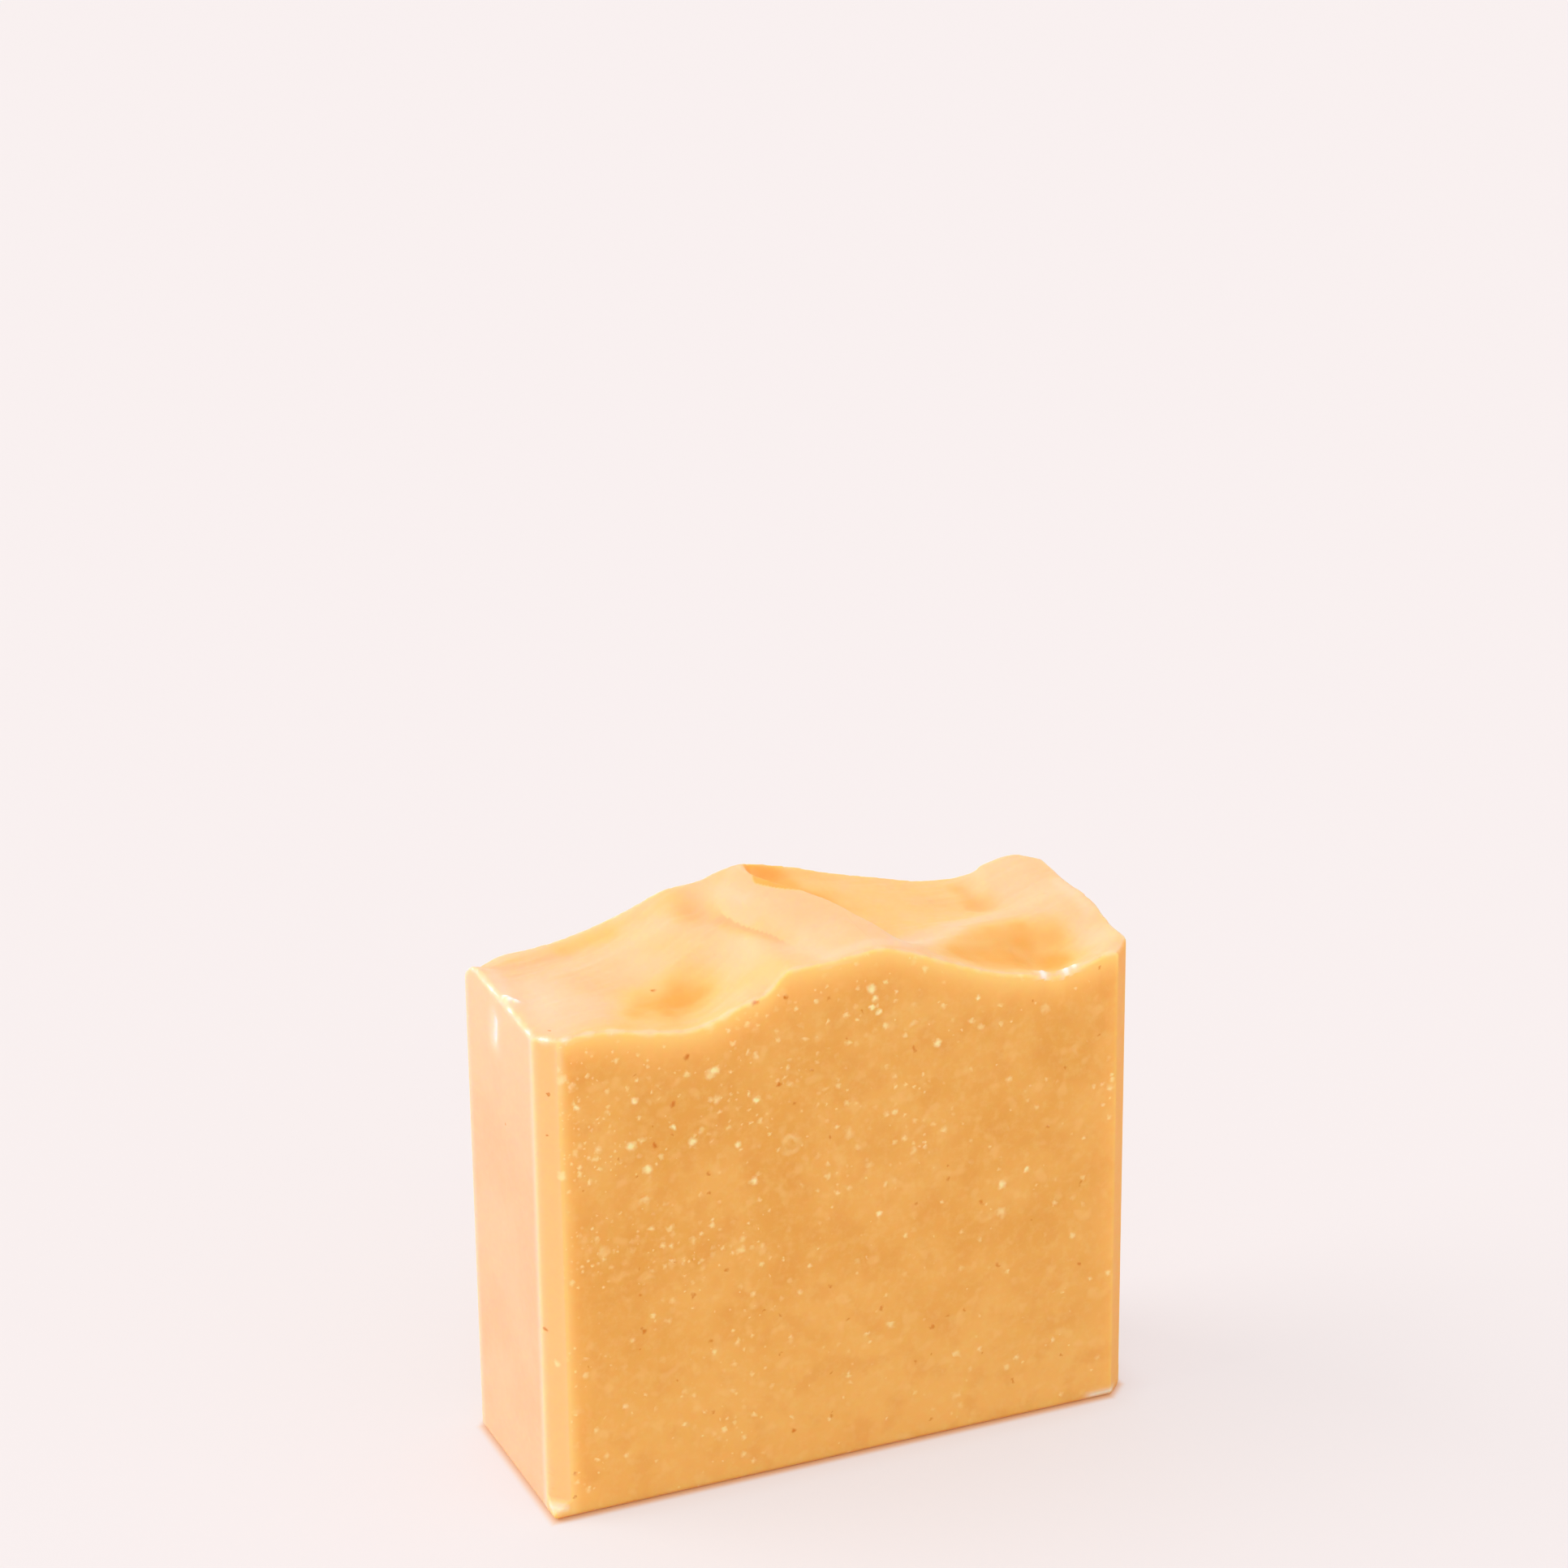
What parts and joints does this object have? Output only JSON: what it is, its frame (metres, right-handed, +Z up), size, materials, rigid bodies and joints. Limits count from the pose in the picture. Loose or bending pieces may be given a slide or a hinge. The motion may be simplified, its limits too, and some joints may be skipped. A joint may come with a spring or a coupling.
{
  "type": "bar of soap",
  "caption": "Hand-cut bar of soap standing on its base, with flat knife-cut faces, planed upright edges and a top swirled with a spoon; it is held, wetted and rubbed for washing",
  "frame": {"origin": "middle of the base, on the surface that the bar stands on", "axes": "+X along the large cut faces, +Y from the front cut face to the back one, +Z up to the swirled top"},
  "size_m": [0.08, 0.029, 0.0716],
  "materials": {
    "soap": "waxy, soft sheen"
  },
  "bodies": {
    "root": {"soap_bar": "soap"}
  },
  "joints": []
}
